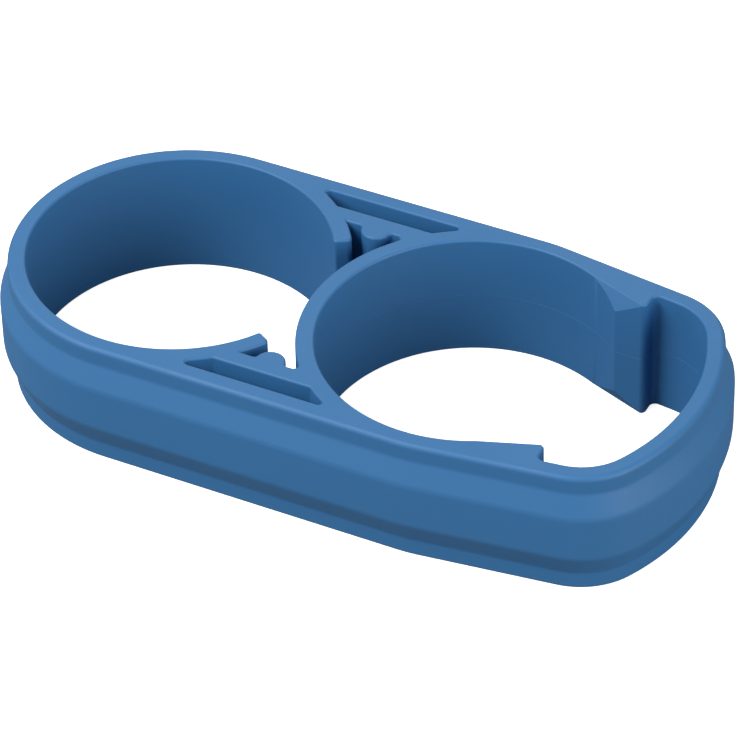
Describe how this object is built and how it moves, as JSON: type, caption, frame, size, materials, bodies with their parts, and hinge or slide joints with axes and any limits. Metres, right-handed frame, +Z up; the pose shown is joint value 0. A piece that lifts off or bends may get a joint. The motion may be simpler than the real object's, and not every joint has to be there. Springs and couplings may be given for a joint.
{
  "type": "magnetic glass cleaner frame",
  "caption": "Oval two-seat frame of a magnetic aquarium glass cleaner: round seats joined by a snap-finger waist, an end pocket and a swelled bumper band.",
  "frame": {"origin": "middle of the overall box on the plane that the frame rests on", "axes": "+X along the length, from the left seat to the end pocket; +Y across, towards the rear side; +Z up, along the seats' axes"},
  "size_m": [0.099, 0.0474, 0.018],
  "materials": {
    "frame_blue": "satin moulded soft plastic, medium blue",
    "band_blue": "satin moulded elastomer, medium blue",
    "magnet_plating": "nickel plated magnet"
  },
  "bodies": {
    "frame": {"upper_frame": "frame_blue", "lower_frame": "frame_blue", "bumper_band": "band_blue", "front_end_magnet": "magnet_plating", "rear_end_magnet": "magnet_plating", "front_side_magnet": "magnet_plating", "rear_side_magnet": "magnet_plating"},
    "front_finger": {"front_snap_finger": "frame_blue"},
    "rear_finger": {"rear_snap_finger": "frame_blue"}
  },
  "joints": [
    {"name": "front_finger_flex", "type": "hinge", "parent": "frame", "child": "front_finger", "pos_m": [-0.00956, -0.01363, 0.009], "axis": [0, 0, -1], "range_deg": [0, 12], "stiffness_Nm_per_rad": 0.02},
    {"name": "rear_finger_flex", "type": "hinge", "parent": "frame", "child": "rear_finger", "pos_m": [-0.00956, 0.01363, 0.009], "axis": [0, 0, 1], "range_deg": [0, 12], "stiffness_Nm_per_rad": 0.02}
  ]
}
